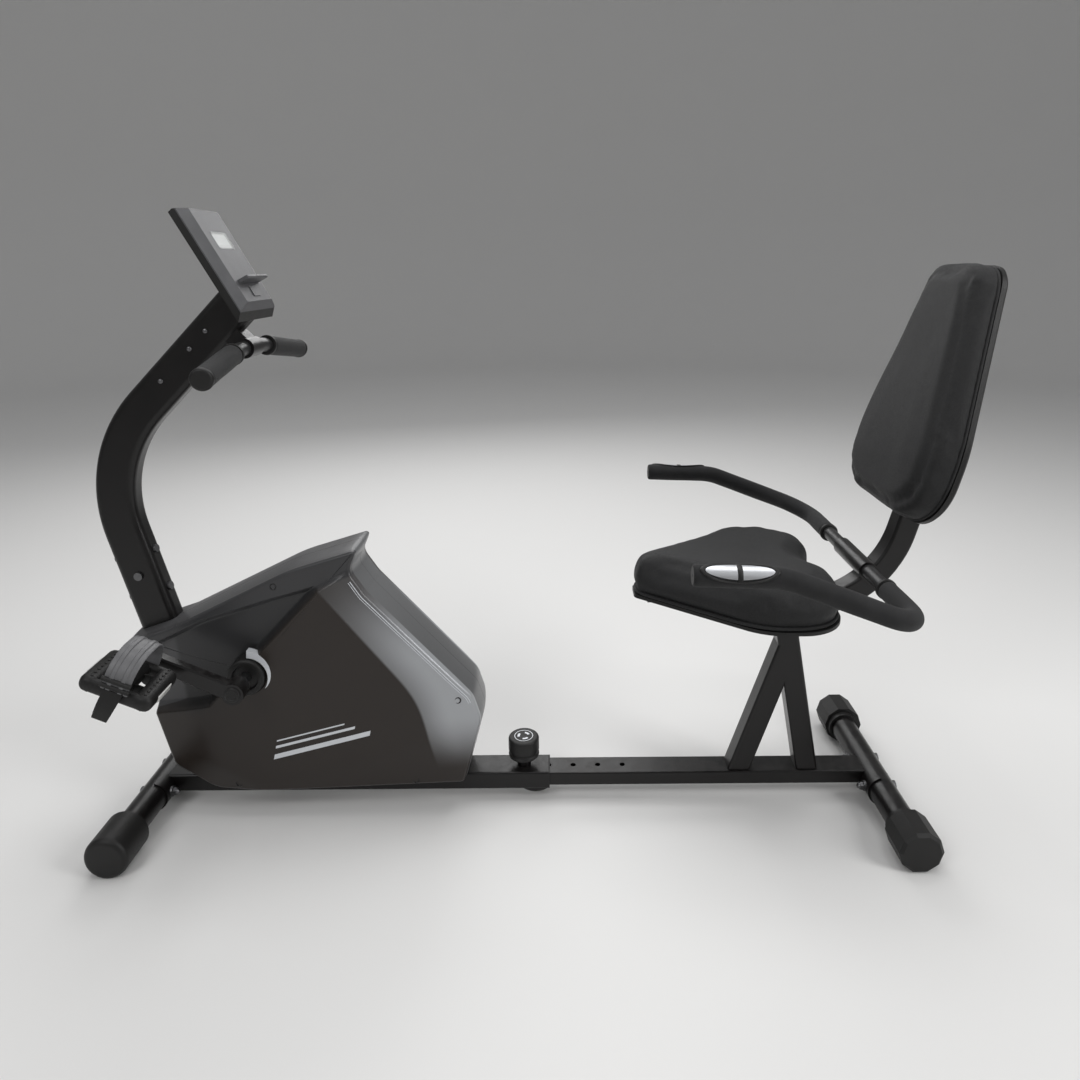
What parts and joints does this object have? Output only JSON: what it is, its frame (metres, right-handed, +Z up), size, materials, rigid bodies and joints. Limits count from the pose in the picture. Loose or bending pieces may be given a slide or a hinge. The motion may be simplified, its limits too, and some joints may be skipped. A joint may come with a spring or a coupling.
{
  "type": "recumbent exercise bike",
  "caption": "Recumbent exercise bike with a sliding padded seat and back, side handles, a belt driven flywheel in a shroud, pedals with toe straps, and a console on a bent mast.",
  "frame": {"origin": "on the floor, halfway along the bike, in its plane of symmetry", "axes": "+X rearwards from the pedals to the seat, +Y to the rider's right, +Z up"},
  "size_m": [1.5604, 0.6148, 1.0961],
  "materials": {
    "black_paint": "satin black powder coat",
    "black_plastic": "fine moulded grain",
    "shroud_plastic": "satin graphite grey with a silver bevel",
    "console_plastic": "fine grained mid grey",
    "handle_paint": "satin dark paint",
    "steel": "zinc plated",
    "plated_contact": "brushed plate",
    "foam": "closed cell foam",
    "upholstery": "soft grained vinyl",
    "strap_rubber": "ribbed soft plastic",
    "belt_rubber": "ribbed",
    "pulley_plastic": "moulded",
    "flywheel_iron": "turned rim",
    "lens": "clear window",
    "circuit_board": "solder mask"
  },
  "bodies": {
    "frame": {"front_stabilizer": "black_paint", "front_saddle": "black_paint", "front_base_bolts": "steel", "front_end_caps": "black_plastic", "front_beam": "black_paint", "beam_bush": "black_plastic", "pin_collar": "black_paint", "mast_stub": "black_paint", "mast": "black_paint", "mast_bolts": "steel", "console_bezel": "console_plastic", "console_back": "black_plastic", "console_lens": "lens", "console_board": "circuit_board", "console_bracket": "black_paint", "hand_bar": "handle_paint", "hand_grips": "foam", "hand_bar_caps": "black_plastic", "hand_bar_clamp": "black_paint", "bottom_bracket": "black_paint", "crank_bearings": "steel", "drive_belt": "belt_rubber", "flywheel_axle": "steel", "flywheel_mount": "black_paint", "servo_unit": "black_plastic", "shroud_left": "shroud_plastic", "shroud_right": "shroud_plastic"},
    "crank": {"crank_axle": "steel", "drive_pulley": "pulley_plastic", "crank_arm_left": "black_paint", "crank_arm_right": "black_paint", "pedal_spindles": "steel"},
    "pedal_left": {"pedal_left": "black_plastic", "toe_strap_left": "strap_rubber"},
    "pedal_right": {"pedal_right": "black_plastic", "toe_strap_right": "strap_rubber"},
    "flywheel": {"flywheel": "flywheel_iron", "flywheel_pulley": "pulley_plastic"},
    "idler_arm": {"idler_arm": "black_plastic"},
    "idler_roller": {"idler_roller": "black_plastic"},
    "magnet_bracket": {"magnet_bracket": "steel"},
    "seat_carriage": {"rear_beam": "black_paint", "rear_stabilizer": "black_paint", "rear_saddle": "black_paint", "rear_base_bolts": "steel", "seat_frame": "black_paint", "seat_pan": "black_plastic", "seat_cushion": "upholstery", "back_post": "black_paint", "back_board": "black_plastic", "back_pad": "upholstery", "seat_handle": "handle_paint", "seat_grips": "foam", "pulse_plates": "plated_contact", "handle_bracket": "black_paint"},
    "level_cap_left": {"level_cap_left": "black_plastic"},
    "level_cap_right": {"level_cap_right": "black_plastic"},
    "locking_pin": {"locking_pin": "steel", "pull_knob": "black_plastic"},
    "mode_button": {"mode_button": "console_plastic"}
  },
  "joints": [
    {"name": "crank_spin", "type": "hinge", "parent": "frame", "child": "crank", "pos_m": [-0.51309, 0, 0.283], "axis": [0, 1, 0], "continuous": true},
    {"name": "pedal_left_spin", "type": "hinge", "parent": "crank", "child": "pedal_left", "pos_m": [-0.64903, -0.195, 0.34639], "axis": [0, 1, 0], "continuous": true},
    {"name": "pedal_right_spin", "type": "hinge", "parent": "crank", "child": "pedal_right", "pos_m": [-0.37714, 0.195, 0.21961], "axis": [0, 1, 0], "continuous": true},
    {"name": "flywheel_spin", "type": "hinge", "parent": "frame", "child": "flywheel", "pos_m": [-0.25909, 0, 0.215], "axis": [0, 1, 0], "continuous": true},
    {"name": "idler_swing", "type": "hinge", "parent": "frame", "child": "idler_arm", "pos_m": [-0.43909, 0.025, 0.103], "axis": [0, 1, 0], "range_deg": [0, 10], "stiffness_Nm_per_rad": 5, "springref_deg": -11.46},
    {"name": "idler_roll", "type": "hinge", "parent": "idler_arm", "child": "idler_roller", "pos_m": [-0.3795, 0.035, 0.16646], "axis": [0, 1, 0], "continuous": true},
    {"name": "magnet_swing", "type": "hinge", "parent": "frame", "child": "magnet_bracket", "pos_m": [-0.23497, 0, 0.10154], "axis": [0, 1, 0], "range_deg": [0, 8], "stiffness_Nm_per_rad": 3, "springref_deg": -11.46},
    {"name": "seat_slide", "type": "slide", "parent": "frame", "child": "seat_carriage", "axis": [1, 0, 0], "range_m": [-0.188, 0.094]},
    {"name": "level_left_turn", "type": "hinge", "parent": "seat_carriage", "child": "level_cap_left", "pos_m": [0.64091, -0.18, 0.036], "axis": [0, 1, 0], "range_deg": [-90, 90]},
    {"name": "level_right_turn", "type": "hinge", "parent": "seat_carriage", "child": "level_cap_right", "pos_m": [0.64091, 0.18, 0.036], "axis": [0, 1, 0], "range_deg": [-90, 90]},
    {"name": "pin_pull", "type": "slide", "parent": "frame", "child": "locking_pin", "axis": [0, 0, 1], "range_m": [-0.006, 0.008]},
    {"name": "mode_button_push", "type": "slide", "parent": "frame", "child": "mode_button", "axis": [0.8729, 0, 0.4879], "range_m": [-0.0012, 0], "stiffness_N_per_m": 400, "springref_m": 0.0006}
  ],
  "couplings": [
    {"joint": "flywheel_spin", "follows": "crank_spin", "ratio": 5.4},
    {"joint": "idler_roll", "follows": "crank_spin", "ratio": -6.925}
  ]
}
